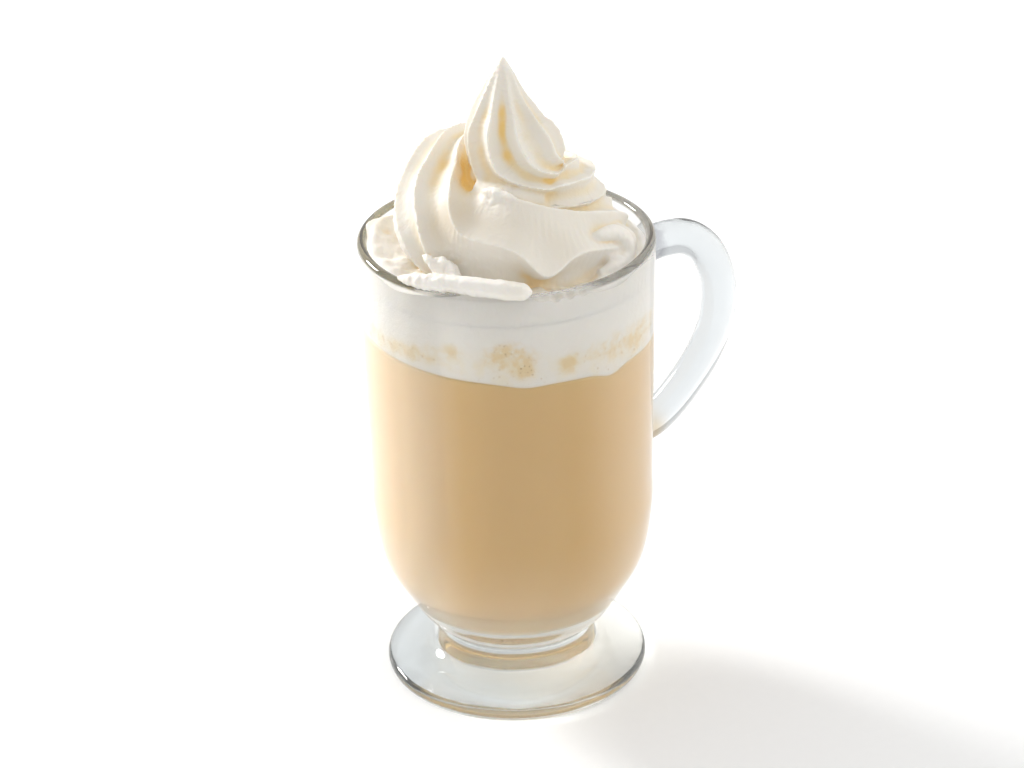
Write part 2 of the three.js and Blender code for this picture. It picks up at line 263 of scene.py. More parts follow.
lip_middle = LIP_RADIUS - LIP_ROUND
lip_height = MUG_HEIGHT - LIP_ROUND
mug_profile = np.vstack([
    FOOT_DISH,
    arc((FOOT_RADIUS - FOOT_ROUND, FOOT_ROUND), FOOT_ROUND, -90, 80, 14),
    FOOT_TOP,
    bowl_outer[:-1],
    arc((lip_middle, lip_height), LIP_ROUND, 0, 180, 16),
    (NEAR_AXIS, lip_height),
])
mug = mesh_object("glass", *skin(turned_rings(mug_profile)))
face_out(mug)

path = through(HANDLE_PATH, 12)
way = np.gradient(path, axis=0)
way /= np.linalg.norm(way, axis=1)[:, None]
round_rod = np.radians(np.arange(HANDLE_SIDES) * 360 / HANDLE_SIDES)
rod_rings = []
for (x, z), (way_x, way_z) in zip(path, way):
    off = HANDLE_DEPTH * np.cos(round_rod)
    rod_rings.append(np.stack([x - off * way_z, HANDLE_WIDTH * np.sin(round_rod), z + off * way_x], 1))
rod = mesh_object("rod", *skin(np.array(rod_rings)))
face_out(rod)
cut_or_join(mug, rod, "UNION")

mouth = lip_middle - LIP_ROUND
cavity_line = inner_line(0, lip_height)
cavity_line[-1] = (mouth, lip_height)
over_lip = MUG_HEIGHT + 5
hollow_profile = np.vstack([cavity_line, (mouth, over_lip), (NEAR_AXIS, over_lip)])
hollow = mesh_object("hollow", *skin(turned_rings(hollow_profile)))
face_out(hollow)
cut_or_join(mug, hollow, "DIFFERENCE")

points = points_of(mug)
out = np.hypot(points[:, 0], points[:, 1])
melt = 0
for root_x, root_z in (HANDLE_PATH[0], HANDLE_PATH[-1]):
    across = np.hypot(points[:, 1] / HANDLE_WIDTH, (points[:, 2] - root_z) / HANDLE_DEPTH)
    ring = bump(across * HANDLE_WIDTH, HANDLE_WIDTH, MELT_REACH)
    melt = melt + ring * bump(points[:, 0], root_x + 1.6, MELT_REACH) * (out > root_x - 0.2)
set_points(mug, relaxed(mug, points, MELT_WEIGHT * np.clip(melt, 0, 1), MELT_ROUNDS))
mug.data.shade_smooth()
mug.data.set_sharp_from_angle(angle=math.radians(50))


class Signal:
    """One value in a shader. Arithmetic on it adds the Math nodes that work it out."""

    def __init__(self, finish, socket):
        self.finish = finish
        self.socket = socket

    def __add__(self, other):
        return self.finish.work_out("ADD", self, other)

    def __sub__(self, other):
        return self.finish.work_out("SUBTRACT", self, other)

    def __rsub__(self, other):
        return self.finish.work_out("SUBTRACT", other, self)

    def __mul__(self, other):
        return self.finish.work_out("MULTIPLY", self, other)

    __radd__ = __add__
    __rmul__ = __mul__

    def rise(self, low, high):
        """0 below low, 1 over high and smooth between them."""
        inputs = {"Value": self, "From Min": low, "From Max": high}
        return self.finish.node("ShaderNodeMapRange", {"interpolation_type": "SMOOTHSTEP"}, inputs)


class Finish:
    """The shader nodes of a material, or of the room, under construction."""

    def __init__(self, owner):
        owner.use_nodes = True
        self.owner = owner
        self.tree = owner.node_tree
        self.tree.nodes.clear()

    def node(self, kind, settings=None, inputs=None, output=0):
        """Adds a node with its settings and its sockets' values or links, and gives one of its outputs."""
        node = self.tree.nodes.new(kind)
        for name, value in (settings or {}).items():
            setattr(node, name, value)
        for name, value in (inputs or {}).items():
            if isinstance(value, Signal):
                self.tree.links.new(value.socket, node.inputs[name])
            else:
                node.inputs[name].default_value = value
        return Signal(self, node.outputs[output]) if node.outputs else None

    def work_out(self, operation, *values):
        """A sum or a function of single values."""
        return self.node("ShaderNodeMath", {"operation": operation}, dict(enumerate(values)))

    def place(self):
        """The point of the mug's frame, in millimetres."""
        position = self.node("ShaderNodeTexCoord", output="Object")
        return self.node("ShaderNodeVectorMath", {"operation": "SCALE"}, {0: position, "Scale": 1 / MM})

    def part(self, vector, axis):
        return self.node("ShaderNodeSeparateXYZ", None, {0: vector}, axis)

    def along(self, vector, way):
        """How far a vector reaches that way."""
        return self.node("ShaderNodeVectorMath", {"operation": "DOT_PRODUCT"}, {0: vector, 1: way}, "Value")

    def carried(self, name):
        """A value that the mesh carries at its points."""
        return self.node("ShaderNodeAttribute", {"attribute_name": name}, output="Fac")

    def speckle(self, scale, detail):
        """Noise from 0 to 1 with lumps of about the scale, in millimetres."""
        inputs = {"Vector": self.place(), "Scale": 1 / scale, "Detail": detail}
        return self.node("ShaderNodeTexNoise", None, inputs)

    def mix(self, factor, under, over):
        """One colour laid over another. Of a Mix node's sockets, 6 and 7 are its colours."""
        inputs = {0: factor, 6: under, 7: over}
        for socket in (6, 7):
            if not isinstance(inputs[socket], Signal):
                inputs[socket] = (*inputs[socket], 1)
        return self.node("ShaderNodeMix", {"data_type": "RGBA"}, inputs, 2)

    def relief(self, height, depth):
        """A normal from a height signal, its depth given in millimetres."""
        return self.node("ShaderNodeBump", None, {"Strength": 1, "Distance": depth * MM, "Height": height})

    def surface(self, shader, **volume):
        """Puts the shader on the material, and gives the material."""
        self.node("ShaderNodeOutputMaterial", None, {"Surface": shader, **volume})
        return self.owner


clear_glass = Finish(bpy.data.materials.new("clear pressed glass"))
ripple = clear_glass.speckle(9, 1)
# Noise that varies the glass's roughness and mottles its painted shade.
film_and_shade_noise = clear_glass.speckle(4, 3)
at = clear_glass.place()
up = clear_glass.part(at, "Z")
left = clear_glass.along(at, LEFT_WAY)
front = clear_glass.along(at, FRONT_WAY)
outward = clear_glass.part(at, "X")
handle = outward.rise(LIP_RADIUS, LIP_RADIUS + 3)
at_wall = 1 - outward.rise(LIP_RADIUS + 4, LIP_RADIUS + 7.5)
near_wall = 1 - outward.rise(LIP_RADIUS + 2.5, LIP_RADIUS + 8.5)
root_shade = handle * at_wall * up.rise(HANDLE_TOP - 12.5, HANDLE_TOP - 4.5) * film_and_shade_noise.rise(0.3, 0.5)
# The handle's lower root is tinted tan.
lower_root_tan = handle * near_wall * (1 - up.rise(HANDLE_FOOT + 0.5, HANDLE_FOOT + 10.5))
# Painted light and shade: the foot is lighter on its right, darker on its left, and the handle darker.
foot_light_and_shade = clear_glass.mix(left.rise(-24, 12), LIT_FOOT_GLASS, SHADED_GLASS)
glass_tone = clear_glass.mix(up.rise(12, 20), foot_light_and_shade, BOWL_GLASS)
glass_tone = clear_glass.mix(handle, glass_tone, SHADED_GLASS)
glass_tone = clear_glass.mix(0.65 * root_shade, glass_tone, ROOT_SHADE)
glass_tone = clear_glass.mix(0.8 * lower_root_tan, glass_tone, LOWER_ROOT_TAN)
on_lip = up.rise(lip_height - 0.35, lip_height + 0.45)
shade = on_lip * (0.8 + 0.2 * left.rise(0, 0.7 * LIP_RADIUS)) * (0.9 + 0.35 * film_and_shade_noise)
shade = shade * (1 - 0.85 * front.rise(0.76 * LIP_RADIUS, 0.9 * LIP_RADIUS))
glass_tone = clear_glass.mix(shade, glass_tone, LIP_SHADE)
thick_glass = clear_glass.node("ShaderNodeBsdfPrincipled", None, {
    "Base Color": glass_tone,
    "Roughness": 0.012 * film_and_shade_noise.rise(0.35, 0.75),
    "IOR": 1.5,
    "Transmission Weight": 1,
    "Sheen Weight": 0.2,
    "Sheen Roughness": 0.45,
    "Normal": clear_glass.relief(ripple, 0.12),
})
lamp_light = clear_glass.node("ShaderNodeBsdfTransparent", None, {"Color": (*LAMP_GLASS, 1)})
for_lamps = clear_glass.node("ShaderNodeLightPath", output="Is Shadow Ray")
glass_face = clear_glass.node("ShaderNodeMixShader", None, {0: for_lamps, 1: thick_glass, 2: lamp_light})
tint = {"Color": (*GLASS_TINT, 1), "Density": GLASS_DENSITY}
glass_body = clear_glass.node("ShaderNodeVolumeAbsorption", None, tint)
mug.data.materials.clear()
mug.data.materials.append(clear_glass.surface(glass_face, Volume=glass_body))
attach(mug, "root")
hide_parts("glass_mug")

# Latte: milky coffee, smooth and opaque, that fills the mug and wets the wall all round. Its sides
# are painted lighter, most on the left where the lamp falls, as painted light, and it is paler low
# down. Its top is hidden by the foam, and their border at the wall runs up and down in soft waves.
WETTING = 0.15
BORDER = 104.3
BORDER_TILT = 2
BORDER_DIPS = [(-84, 9, 0.9), (-46, 7, 1.6)]
BORDER_RINGS = [(33, 1), (30, 1), (27, 0.5), (24, 0), (12, 0), (NEAR_AXIS, 0)]
LEVEL_WALL = 90
LATTE_COLOUR = (0.725, 0.49, 0.205)
MILK_AND_LIGHT_COLOUR = (0.95, 0.745, 0.5)
UNDER_COLOUR = (0.96, 0.9, 0.8)


def turn_between(a, b):
    """Difference of two angles in degrees, from -180 to 180."""
    return (a - b + 180) % 360 - 180


def border_height(degrees):
    """Height of the border between latte and foam at an angle round the mug."""
    height = BORDER - BORDER_TILT * np.cos(np.radians(degrees))
    for centre, width, depth in BORDER_DIPS:
        height = height - depth * bump(turn_between(degrees, centre), 0, width)
    return height


ring_degrees = np.arange(TURN_STEPS) * 360 / TURN_STEPS
border = border_height(ring_degrees)


def filling_rings(line):
    """Rings up the wall, stretched so that the last of them lies on the border."""
    rings = turned_rings(line)
    share = ramp(line[:, 1], LEVEL_WALL, line[-1, 1])[:, None]
    rings[:, :, 2] += share * (border - line[-1, 1])
    return rings


def border_rings(offset):
    """Rings of the border's face inward from the wall to the middle of the mug."""
    rings = []
    for radius, waviness in BORDER_RINGS:
        ring = turned_rings([(radius, BORDER + offset)])[0]
        ring[:, 2] += waviness * (border - BORDER)
        rings.append(ring)
    return np.array(rings)


def turned_to_view(points):
    """Points laid out toward the camera, in the mug's frame."""
    cosine, sine = math.cos(VIEW_TURN), math.sin(VIEW_TURN)
    return points @ np.array([[cosine, sine, 0], [-sine, cosine, 0], [0, 0, 1]])


wall_rings = filling_rings(inner_line(-WETTING, BORDER))
points, faces = skin(np.vstack([wall_rings, border_rings(0)]))
drink = mesh_object("latte_drink", turned_to_view(points), faces)
face_out(drink)

milky_coffee = Finish(bpy.data.materials.new("milky coffee"))
cloud = milky_coffee.speckle(22, 2)
fine_cloud = milky_coffee.speckle(1.6, 2)
in_drink = milky_coffee.place()
aside = milky_coffee.along(in_drink, LEFT_WAY)
up = milky_coffee.part(in_drink, "Z")
low_down = 1 - up.rise(22, 56)
# Painted light: lighter on the left, where the lamp falls, and a little on the right; also paler low down
# and in clouds.
milk = 0.84 * aside.rise(11, 25) + 0.35 * (0 - aside).rise(14, 32) + 0.6 * low_down + 0.15 * cloud - 0.07
tone = milky_coffee.mix(milk, LATTE_COLOUR, MILK_AND_LIGHT_COLOUR)
level = milky_coffee.node("ShaderNodeVectorMath", {"operation": "MULTIPLY"}, {0: in_drink, 1: (1, 1, 0)})
from_axis = milky_coffee.node("ShaderNodeVectorMath", {"operation": "LENGTH"}, {0: level}, "Value")
under = (1 - from_axis.rise(14, 20)) * (1 - up.rise(26, 30))
tone = milky_coffee.mix(0.4 * under, tone, UNDER_COLOUR)
drink.data.materials.append(milky_coffee.surface(milky_coffee.node("ShaderNodeBsdfPrincipled", None, {
    "Base Color": tone,
    "Roughness": 0.35 + 0.1 * fine_cloud,
    "Subsurface Weight": 0.35,
    "Subsurface Radius": (1, 0.7, 0.4),
    "Subsurface Scale": 0.003,
})))
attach(drink, "root")
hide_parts("latte")

# Milk foam: steamed milk with fine bubbles, poured over the coffee and floating on it. Where it
# meets the coffee, tan streaks and a few larger bubbles show through the glass.
CREAM_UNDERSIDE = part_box("whipped_cream")[0].z / MM
SEAM = 0.02
SIDE_ROWS = 26
FOAM_COLOUR = (0.9, 0.87, 0.82)
WARM_FOAM_COLOUR = (0.91, 0.84, 0.69)
STREAK_COLOUR = (0.84, 0.66, 0.38)
EDGE_COLOUR = (0.84, 0.69, 0.46)
BUBBLE_COLOUR = (0.5, 0.33, 0.15)
BUBBLE_SIZE = 1.3

# The streaks: angle round the mug, height, half width in degrees, half height and strength. They come
# again round the back, turned by so many degrees and so strong.
STREAKS = [
    (-143, 109, 12, 3.4, 0.5), (-126, 110.5, 9, 3.4, 0.6), (-112, 113, 7, 2.6, 0.6),
    (-91, 112.4, 10, 3.8, 1.3), (-85, 108.6, 5, 3.4, 1), (-66, 108.6, 5, 2.6, 1.2),
    (-48, 110, 14, 4, 0.5), (-30, 107.5, 16, 5.4, 0.6),
]
STREAK_TURNS = [(0, 1), (122, 0.75), (221, 0.75)]

foam_top = CREAM_UNDERSIDE - SEAM
wall_line = inner_line(-WETTING, foam_top)
side_heights = np.linspace(BORDER, foam_top, SIDE_ROWS)
side_radii = np.interp(side_heights, wall_line[:, 1], wall_line[:, 0])
side_rings = turned_rings(np.stack([side_radii, side_heights], 1))
side_rings[:, :, 2] += (1 - ramp(side_heights, BORDER, foam_top))[:, None] * (border + SEAM - BORDER)
top_ring = turned_rings([(NEAR_AXIS, foam_top)])
points, faces = skin(np.vstack([border_rings(SEAM)[::-1], side_rings, top_ring]))
foam = mesh_object("foam", turned_to_view(points), faces)
face_out(foam)
degrees = np.degrees(np.arctan2(points[:, 1], points[:, 0]))
streakiness = 0
for turn, amount in STREAK_TURNS:
    for centre, middle, width, tall, strength in STREAKS:
        near = bump(turn_between(degrees, centre + turn), 0, width) * bump(points[:, 2], middle, tall)
        streakiness = streakiness + amount * strength * near


def carry(made, **values):
    """Gives an object's points the values that its material reads."""
    for name, numbers in values.items():
        made.data.attributes.new(name, "FLOAT", "POINT").data.foreach_set("value", numbers)


carry(foam, over_border=points[:, 2] - border_height(degrees), streaks=streakiness)

white_foam = Finish(bpy.data.materials.new("milk foam"))
over = white_foam.carried("over_border")
streaks = white_foam.carried("streaks")
large = white_foam.speckle(4.5, 3)
small = white_foam.speckle(1.7, 4)
bubble_grid = {"Vector": white_foam.place(), "Scale": 1 / BUBBLE_SIZE, "Randomness": 1}
cells = white_foam.node("ShaderNodeTexVoronoi", None, bubble_grid, "Distance")
lacy = (large * 0.6 + small * 0.4).rise(0.32, 0.66)
streaky = (streaks * (0.4 + 0.9 * lacy)).rise(0.15, 1.1)
bubbles = (1 - cells.rise(0.12, 0.3)) * (streaky + 0.5 * (1 - over.rise(2, 9))) * small.rise(0.45, 0.6)
warmth = (streaks + 0.7 * large.rise(0.45, 0.75)) * (1 - over.rise(4, 12))
foam_tone = white_foam.mix(warmth, FOAM_COLOUR, WARM_FOAM_COLOUR)
foam_tone = white_foam.mix(0.9 * streaky, foam_tone, STREAK_COLOUR)
foam_tone = white_foam.mix(1 - over.rise(-0.3, 0.7), foam_tone, EDGE_COLOUR)
foam_tone = white_foam.mix(0.6 * bubbles, foam_tone, BUBBLE_COLOUR)
foam.data.set_sharp_from_angle(angle=math.radians(50))
foam.data.materials.append(white_foam.surface(white_foam.node("ShaderNodeBsdfPrincipled", None, {
    "Base Color": foam_tone,
    "Roughness": 0.6 + 0.15 * small,
    "Subsurface Weight": 0.3,
    "Subsurface Radius": (1, 0.8, 0.6),
    "Subsurface Scale": 0.002,
    "Normal": white_foam.relief(small, 0.2),
})))
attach(foam, "root")
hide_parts("milk_foam")

# Whipped cream: one rope piped from a nozzle with ten teeth, coiled once and a half on a soft bed and
# drawn up to a tip. Torn ends and smaller strands of the same cream lie round it and over the lip.
# Painted shade makes its folds and hollows yellow and darker; a painted highlight whitens its crests.

# From the tip down: the rope's middle, its radius, the angle of one ridge round it in degrees and
# how far the ridges beside that one spread.
ROPE_STATIONS = [
    (0.35, 0, 180, 0.2, 43, 0.12),
    (0.1, 0, 175.5, 3.2, 43, 0.12),
    (-0.1, 0, 170.5, 6, 43, 0.12),
    (0, -0.2, 165, 9.2, 43, 0.12),
    (0.74, -1.2, 159.4, 12.1, 41, 0.13),
    (3.2, -2.2, 153.3, 13.2, 41, 0.11),
    (7, -3.3, 145.9, 12.1, 51, -0.17),
    (12.8, -0.4, 141.3, 12.1, 71, -0.06),
    (14.9, 7, 138, 12, 79, -0.01),
    (8, 15.5, 136.4, 12.3, 86, 0),
    (-3.8, 17.2, 140.2, 12.8, 90, -0.08),
    (-12.2, 11.4, 143.4, 12.8, 106, -0.3),
    (-16.3, 1.2, 140.2, 13.3, 110, 0.04),
    (-15.5, -8.7, 137.2, 13.9, 89, 0.33),
    (-8.1, -15.8, 134.8, 14.2, 38, 0.86),
    (2.9, -19.4, 134.7, 13.7, 24, 0.86),
    (14.3, -15.6, 132.4, 12.1, 16, 0.63),
    (21.7, -4.5, 129.6, 11.9, -2, 0.37),
    (21, 7, 127, 11.4, -30, 0),
    (12, 18, 125.5, 11.4, -60, 0),
    (-2, 22, 125, 11.4, -80, 0),
]
LOBES = 10
LOBE_STEPS = 16
STATION_STEPS = 20
VALLEY_DEPTH = 0.22
VALLEY_SHARPNESS = 0.75
UPRIGHT_LEAN = 0.45
GROOVE_STATION = 4.2
GROOVE_DEPTH = 0.55
GROOVE_TURN = math.radians(-18)
FLAP_STATION = 15.36
FLAP_SWING = math.radians(-26)
FLAP_REACH = 0.16

# Strands of cream: middles and radii. The fillers close gaps under the upper turn and in the curl.
STRAND_SIDES = 40
LIP_ROLL = [
    (-18.5, -31, 130.2, 1.4), (-14.5, -33.6, 131.6, 2.2), (-8, -36, 131.6, 2.5), (-1, -37.4, 131.2, 2.5),
    (4, -37.9, 130.8, 2.2), (6.2, -38, 130.6, 0.6),
]
CURL = [
    (22, -13, 131, 1), (24.5, -12, 133.2, 2.2), (28.5, -9.5, 133.4, 2.8), (31.2, -8.5, 130.5, 3),
    (30.5, -10.5, 127.4, 2.8), (27, -13, 126, 2), (24.5, -14.5, 126.2, 0.8),
]
TORN_FLAP = [
    (-16.5, -29.5, 128, 1.8), (-17, -28.6, 131, 1.7), (-18.3, -27.5, 133.5, 1.5), (-20, -26, 135.2, 1.2),
    (-21.5, -24.5, 135.6, 0.5),
]
FLAP_SIDE = [
    (-13.4, -31, 129, 1.8), (-13.6, -29.4, 131.6, 2), (-14.6, -28.2, 133.4, 1.8), (-16.4, -27, 134.9, 1.3),
    (-18, -26, 135.4, 0.5),
]
LIP_SMEAR = [
    (-28, -26.4, 130.2, 0.6), (-25, -28.8, 130.9, 1.6), (-20.5, -31.4, 131.3, 2.1),
    (-15.5, -33.6, 131.6, 2.3),
]
TUFT = [
    (-6, -13.5, 148, 0.6), (-4, -15.5, 148.6, 1.5), (-1.5, -17.5, 148.6, 1.7), (1.5, -19, 148, 1.2),
    (4, -19.8, 147.2, 0.5),
]
FILLER = [(-7, -8, 145.5, 3.4), (-2, -11.5, 145.6, 3.8), (3.5, -13, 145.2, 3.8), (9, -11, 144, 3.2)]
CURL_FILLER = [(22, -16.6, 130.5, 2), (25.4, -15.4, 130.5, 3), (28.6, -13.6, 130.5, 2.4)]
LOW_CURL = [
    (21.5, -19.5, 136.4, 0.6), (24.6, -18.2, 137.2, 1.6), (28, -14.6, 136, 2.2), (30.6, -12.6, 132.4, 2.5),
    (30.8, -13.8, 129, 2.4), (27.6, -19.2, 128.2, 2), (23.6, -21.6, 128, 0.9),
]

# Where the cream is torn, has painted yellow shade, has painted darker shade, or is white:
# middles, widths and strengths.
TORN_AREAS = [
    (-17, -28, 134, 5, 1), (-2, -17.5, 148.3, 5, 0.9), (-5, -36, 131.5, 10, 0.5),
    (-21, -31, 131.5, 7, 0.9), (28, -15, 131, 6, 0.6), (-33, -8, 127.5, 10, 0.1),
]
WARM_SHADE_SPOTS = [
    (-10.3, -4.4, 147.5, 6, 1), (-14, -2, 151, 8, 0.7), (-20, -8, 144, 7, 0.5),
    (11.6, -10.8, 149.1, 2.6, 1.3), (16.4, -5.8, 152.1, 2.4, 1.3), (22.5, 6.7, 146.1, 2.4, 0.8),
    (0, -6, 167.3, 2.6, 0.8), (-0.1, -8.4, 162.8, 3, 1), (-0.3, -10.9, 156.9, 3, 1),
    (-8, -8, 153, 5, 0.5), (-6, -3.5, 164, 5, 0.9), (-8, -6, 157.5, 5, 0.9),
    (-26.7, -5.2, 126.9, 3.2, 0.6), (-22, -20, 129, 4, 0.8), (3, -30, 131.5, 5, 0.9),
    (8.5, -29, 130.5, 4.5, 0.8), (16.1, -25.7, 130.9, 4, 0.3), (25.6, -17.6, 132.6, 3.4, 1),
    (22, -21, 129, 4, 0.5),
]
DIM_SHADE_AREAS = [
    (-15.6, -22.5, 141.6, 7, 0.8), (-11, -19.5, 145.6, 6, 0.6), (-1.5, -25.2, 143.8, 8, 0.5),
    (13.6, -26.6, 138.4, 6, 0.4), (6.8, -6.2, 164.5, 4, 0.3),
]
WHITE_AREAS = [
    (-32, -4, 128, 9, 1), (-28, -18, 128, 7, 1), (25, -19, 128, 8, 0.8), (29.3, -14.9, 131.2, 5, 0.5),
    (-18, -32, 132, 7, 1), (-6, -36, 132, 9, 1), (14, -30, 126, 7, 0.7), (-2, -17.5, 148.6, 5, 0.7),
]

# The bed's swells: height, angle and half width in degrees.
BED_SWELLS = [(4.4, -98, 38), (4.6, -178, 34), (2.2, 155, 24), (2.4, -30, 30), (3, 50, 70)]
BED_TOP = 125
PUFF_HEIGHT = 1.7
HIDDEN_EDGE = 3
CREAM_VOXEL = 0.47
LUMP_SIZE = 7
LUMP_HEIGHT = 0.16
TEAR_SIZE = 1.6
TEAR_HEIGHT = 0.45
CREAM_COLOUR = (0.81, 0.762, 0.67)
# Beside the cream's own colour: painted shade for folds and hollows, and a painted highlight for crests.
FOLD_SHADE_COLOUR = (0.84, 0.69, 0.43)
DIM_SHADE_COLOUR = (0.6, 0.5, 0.36)
CREST_HIGHLIGHT_COLOUR = (0.94, 0.92, 0.86)
WARM_SHADE_COLOUR = (0.86, 0.6, 0.22)


def unit(vectors):
    return vectors / np.linalg.norm(vectors, axis=-1, keepdims=True)


def rope_frames(middles):
    """The way to the tip, the way out of the coil and the way over it, at each step of the rope."""
    toward_tip = unit(-np.gradient(middles, axis=0))
    lean = np.hypot(toward_tip[:, 0], toward_tip[:, 1])
    heading = np.unwrap(np.arctan2(toward_tip[::-1, 1], toward_tip[::-1, 0]))[::-1]
    upright_end = np.argmax(lean > UPRIGHT_LEAN)
    heading[:upright_end] = heading[upright_end]
    window = np.hanning(STATION_STEPS + 1)
    padded = np.pad(heading, len(window) // 2, mode="edge")
    heading = np.convolve(padded, window / window.sum(), "valid")
    outward = np.stack([-np.sin(heading), np.cos(heading), 0 * heading], 1)
    outward = unit(outward - (outward * toward_tip).sum(1)[:, None] * toward_tip)
    return outward, np.cross(toward_tip, outward)


def rope_rings():
    """Rings of the ridged rope from its tip down, with a deep groove in its peak and a hanging flap."""
    rows = through(ROPE_STATIONS, STATION_STEPS)
    outward, over = rope_frames(rows[:, :3])
    part = np.arange(LOBE_STEPS) / LOBE_STEPS
    part = part - 0.1 * np.sin(2 * math.pi * part)
    around = (np.arange(LOBES)[:, None] + part).ravel() * 2 * math.pi / LOBES
    around = np.where(around > math.pi, around - 2 * math.pi, around)
    part = np.tile(part, LOBES)
    rings = []
    for index, (x, y, z, radius, ridge, spread) in enumerate(rows):
        station = index / STATION_STEPS
        groove = bump(station, GROOVE_STATION, 1.6) * bump(around, GROOVE_TURN, math.radians(16))
        valley = VALLEY_DEPTH * (1 + GROOVE_DEPTH * groove) * np.sin(math.pi * part) ** VALLEY_SHARPNESS
        flap = bump(station, FLAP_STATION, 0.32)
        swing = FLAP_SWING * flap * bump(around, 0, math.radians(24))
        reach = max(radius, 0.1) * (1 - valley) * (1 + FLAP_REACH * flap * bump(around, 0, math.radians(12)))
        angle = around + spread * np.sin(around) + math.radians(ridge) + swing
        ring = np.outer(reach * np.cos(angle), outward[index]) + np.outer(reach * np.sin(angle), over[index])
        rings.append(ring + (x, y, z))
    return np.array(rings)


def strand_rings(rows, ridges):
    """Rings of a strand through rows of x, y, z and radius, with ridges along it."""
    steps = through(rows, 8)
    way = unit(np.gradient(steps[:, :3], axis=0))
    across = unit(np.cross(way, (0, 0.3, 1)))
    up = np.cross(way, across)
    angles = np.arange(STRAND_SIDES) * 2 * math.pi / STRAND_SIDES
    round_about = across[:, None] * np.cos(angles)[:, None] + up[:, None] * np.sin(angles)[:, None]
    round_about = round_about * (1 + 0.07 * np.sin(ridges * angles))[:, None]
    return steps[:, None, :3] + steps[:, 3].clip(0.1)[:, None, None] * round_about


def lumps(points, scale):
    """Noise from about -1 to 1 at each point, with lumps of the scale in millimetres."""
    return np.array([noise.fractal(Vector(point) / scale, 0.8, 2, 2) for point in points.tolist()])


def bed_height(radius, degrees):
    """Height of the bed of cream that fills the mouth of the mug, with folds that run out to the wall."""
    outside = ramp(radius, 22, 36)
    swells = 0
    for height, centre, width in BED_SWELLS:
        swells = swells + height * bump(turn_between(degrees, centre), 0, width)
    folds = 0.9 * np.sin(np.radians(7 * degrees) + 0.6) * bump(turn_between(degrees, 180), 0, 60)
    folds = folds + 0.5 * np.sin(np.radians(11 * degrees) + 0.35 * radius)
    folds = folds + 0.8 * np.sin(np.radians(62 * degrees)) * bump(degrees, -66, 9)
    wall_drop = 1.6 * ramp(radius, 34.2, 36.4) ** 2 * (1 - 0.9 * bump(turn_between(degrees, -95), 0, 34))
    return BED_TOP + (swells + folds) * outside - wall_drop


def bed_rings():
    """Rings of the bed from the middle out to the wall, and back under it."""
    edge = bowl_outer[-1, 0] - WALL / 2
    rings = turned_rings([(radius, 0) for radius in np.linspace(1, edge, 40)])
    degrees = np.degrees(np.arctan2(rings[..., 1], rings[..., 0]))
    radius = np.hypot(rings[..., 0], rings[..., 1])
    rings[..., 2] = bed_height(radius, degrees)
    puffs = lumps(rings.reshape(-1, 3), LUMP_SIZE).reshape(radius.shape)
    rings[..., 2] += PUFF_HEIGHT * puffs * ramp(radius, 20, 26) * ramp(radius, 37, 33)
    under = turned_rings([(edge, CREAM_UNDERSIDE - HIDDEN_EDGE), (1, CREAM_UNDERSIDE - HIDDEN_EDGE)])
    return np.vstack([rings, under])


def joined(name, skins):
    """One object that holds several closed skins."""
    points = []
    faces = []
    start = 0
    for some_points, some_faces in skins:
        points.append(some_points)
        faces += [[start + corner for corner in face] for face in some_faces]
        start += len(some_points)
    return mesh_object(name, np.vstack(points), faces)


core_profile = [
    (NEAR_AXIS, CREAM_UNDERSIDE - HIDDEN_EDGE), (24, CREAM_UNDERSIDE - HIDDEN_EDGE), (22, 131), (14, 141),
    (10, 147), (5, 158), (NEAR_AXIS, 160),
]
skins = [skin(rope_rings()), skin(turned_rings(core_profile)), skin(bed_rings())]
for rows, ridges in (
    (LIP_ROLL, 7), (LIP_SMEAR, 6), (CURL, 0), (TORN_FLAP, 5), (FLAP_SIDE, 5), (LOW_CURL, 0), (TUFT, 0),
    (FILLER, 0), (CURL_FILLER, 0),
):
    skins.append(skin(strand_rings(rows, ridges)))
cream = joined("cream", skins)
with_modifier(cream, "REMESH", mode="VOXEL", voxel_size=CREAM_VOXEL * MM, adaptivity=0)
points = relaxed(cream, points_of(cream), 0.5, 3)
set_points(cream, points)


def close_to(points, rows):
    """How close each point lies to rows of x, y, z, width and strength."""
    total = 0
    for x, y, z, width, strength in rows:
        total = total + strength * bump(np.linalg.norm(points - (x, y, z), axis=1), 0, width)
    return total


out = np.hypot(points[:, 0], points[:, 1])
torn = close_to(points, TORN_AREAS) + ramp(out, 22, 26) * ramp(points[:, 2], 130, 127) * 0.25
ragged = lumps(points, TEAR_SIZE)
soft = lumps(points, LUMP_SIZE)
outside = np.maximum(ramp(out, 35.5, 33), ramp(points[:, 2], 128.5, 129.5))
move = (LUMP_HEIGHT * soft + TEAR_HEIGHT * ragged * np.clip(torn, 0, 1)) * outside
set_points(cream, points + move[:, None] * rows_of(cream.data.vertices, "normal"))

# The bowl's wall and lip and the underside are cut out of the cream.
cut_from = CREAM_UNDERSIDE - HIDDEN_EDGE - 1
wall_rows = bowl_outer[(bowl_outer[:, 1] > cut_from) & (bowl_outer[:, 1] < lip_height)]
glass_rings = turned_rings(np.vstack([
    wall_rows - (WALL - WETTING, 0),
    (lip_middle - LIP_ROUND + WETTING, lip_height),
    arc((lip_middle, lip_height), LIP_ROUND - WETTING, 180, 0, 16)[1:],
    wall_rows[::-1],
]))
glass_tool = mesh_object("glass_tool", *skin(np.vstack([glass_rings, glass_rings[:1]]), closed=True))
face_out(glass_tool)
cut_or_join(cream, glass_tool, "DIFFERENCE")
tool_depth = CREAM_UNDERSIDE - 2 * HIDDEN_EDGE
tool_reach = 60
under_tool = mesh_object("under_tool", *skin(turned_rings([
    (NEAR_AXIS, tool_depth),
    (tool_reach, tool_depth),
    (tool_reach, CREAM_UNDERSIDE),
    (NEAR_AXIS, CREAM_UNDERSIDE),
])))
face_out(under_tool)
cut_or_join(cream, under_tool, "DIFFERENCE")

